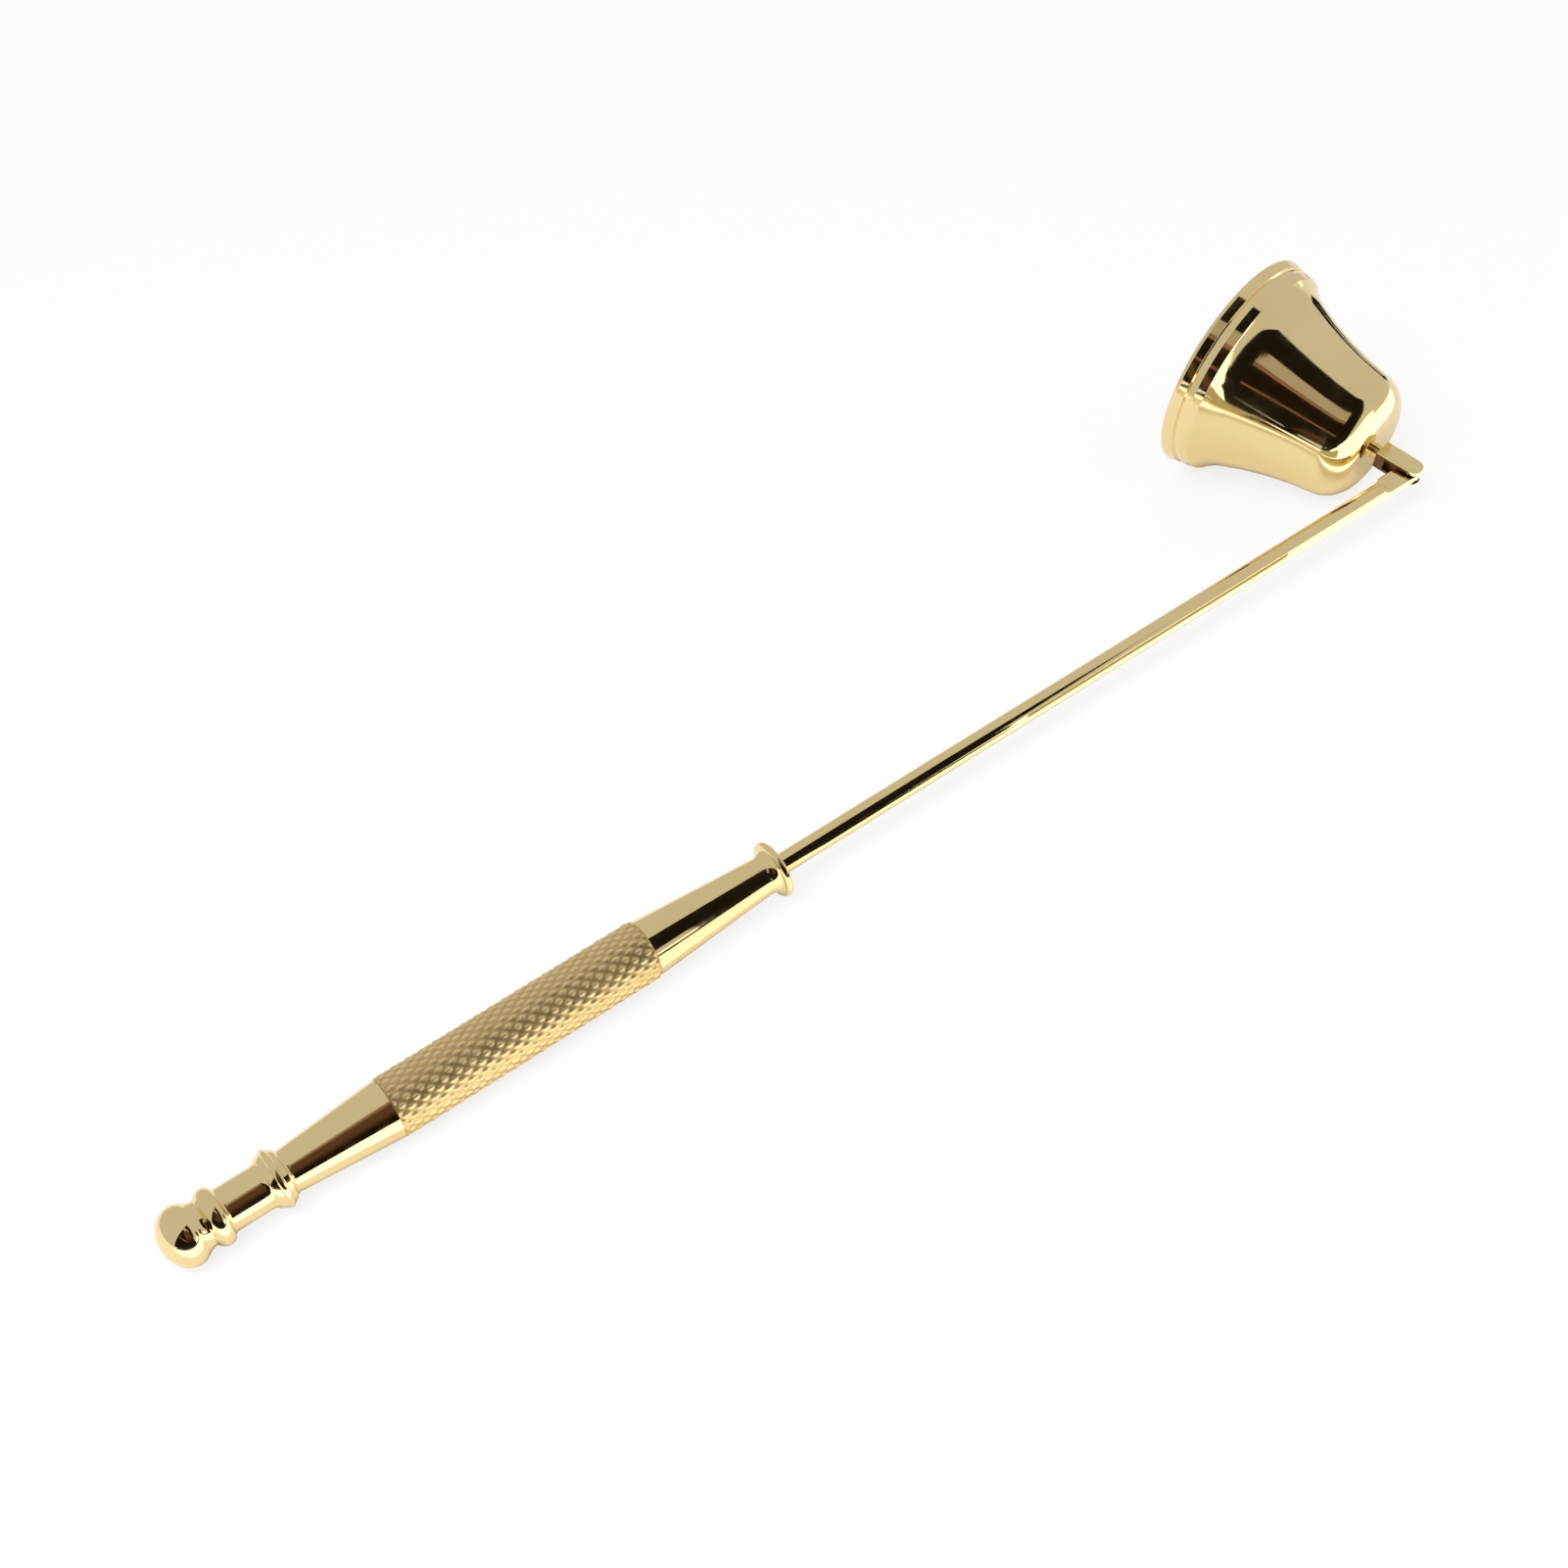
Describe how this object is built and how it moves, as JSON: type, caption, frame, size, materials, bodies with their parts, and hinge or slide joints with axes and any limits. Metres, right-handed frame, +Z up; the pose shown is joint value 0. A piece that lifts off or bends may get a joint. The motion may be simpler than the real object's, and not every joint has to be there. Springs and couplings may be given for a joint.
{
  "type": "candle snuffer",
  "caption": "Gold-coloured candle snuffer: a small flared bell hinged on a thin round rod, with a turned handle, knurled grip, collar, rings and round end knob.",
  "frame": {"origin": "centre of the bounding box, at table height, with the snuffer lying on its knob and on its bell", "axes": "+X along the rod from knob to hinge, +Z up from the table, the bell lies towards +Y"},
  "size_m": [0.2298, 0.0436, 0.035],
  "materials": {
    "handle_gold": "polished, gold plated",
    "rod_gold": "polished, gold plated",
    "bell_gold": "polished, gold plated",
    "fastener_gold": "plain, gold plated"
  },
  "bodies": {
    "handle": {"knob": "handle_gold", "grip": "handle_gold", "collar": "handle_gold", "rod": "rod_gold"},
    "bell": {"bell": "bell_gold", "fork": "rod_gold", "crown_washer": "fastener_gold", "crown_nut": "fastener_gold", "hinge_pin": "rod_gold"}
  },
  "joints": [
    {"name": "bell_tilt", "type": "hinge", "parent": "handle", "child": "bell", "pos_m": [0.10398, -0.01742, 0.00641], "axis": [0.0095, 0.3368, -0.9415], "range_deg": [-22, 224]}
  ]
}
